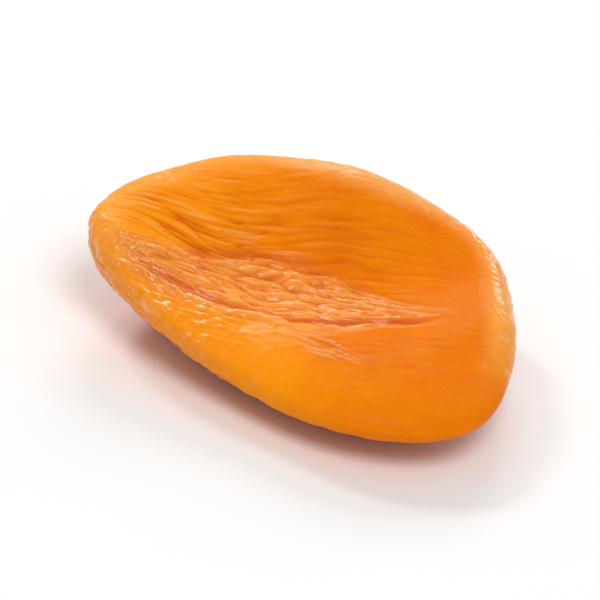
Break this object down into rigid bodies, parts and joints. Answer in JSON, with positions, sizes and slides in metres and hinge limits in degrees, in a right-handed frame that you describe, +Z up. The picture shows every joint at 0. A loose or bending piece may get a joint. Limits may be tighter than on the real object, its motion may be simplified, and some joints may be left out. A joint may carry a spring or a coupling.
{
  "type": "dried apricot half",
  "caption": "Dried apricot half, cut side up: a cupped oval of fruit with a rolled lip, a creased and folded dish, crinkled skin below and a small flat spot to rest on.",
  "frame": {"origin": "middle of the base of the fruit's box, on the surface that it lies on", "axes": "+X from the pointed stem end to the blunt blossom end, +Y to the taller far side, +Z up out of the dish"},
  "size_m": [0.0402, 0.0356, 0.0119],
  "materials": {
    "flesh": "translucent amber fruit flesh with a satin to glossy surface"
  },
  "bodies": {
    "root": {"apricot": "flesh"}
  },
  "joints": []
}
